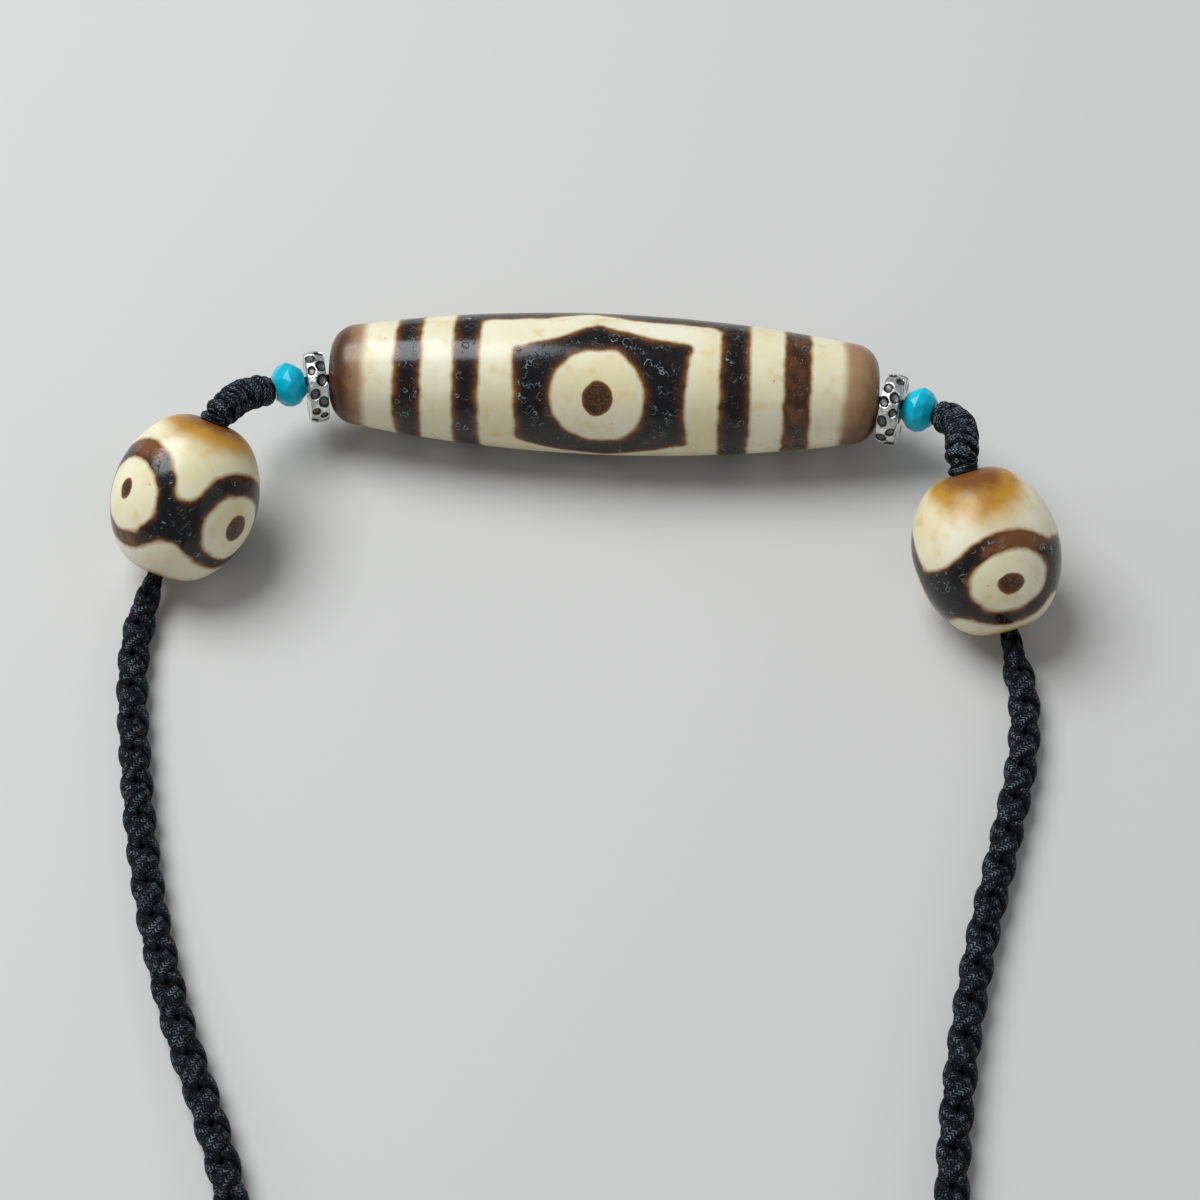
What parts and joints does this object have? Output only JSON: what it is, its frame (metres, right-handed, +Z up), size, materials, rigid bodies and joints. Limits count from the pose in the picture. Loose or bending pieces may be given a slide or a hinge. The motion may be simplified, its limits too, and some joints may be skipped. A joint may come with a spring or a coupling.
{
  "type": "dzi bead necklace",
  "caption": "Long banded agate eye bead with round eye beads, silver rings and turquoise beads on a closed braided black cord loop.",
  "frame": {"origin": "on the surface that the necklace lies on, under the middle of the box of its beads, rings, sleeves and thread, without the braided cord and its closing knot", "axes": "+X along the long bead, +Y away from the cord loop, +Z up; the loop lies towards -Y"},
  "size_m": [0.0898, 0.1983, 0.0148],
  "materials": {
    "agate": "satin",
    "silver": "satin",
    "turquoise": "gloss",
    "nylon": "matte"
  },
  "bodies": {
    "root": {"long_dzi_bead": "agate", "left_round_bead": "agate", "right_round_bead": "agate", "left_silver_ring": "silver", "right_silver_ring": "silver", "left_turquoise_bead": "turquoise", "right_turquoise_bead": "turquoise", "left_knotted_sleeve": "nylon", "right_knotted_sleeve": "nylon", "bead_thread": "nylon", "braided_cord": "nylon", "closing_knot": "nylon"}
  },
  "joints": []
}
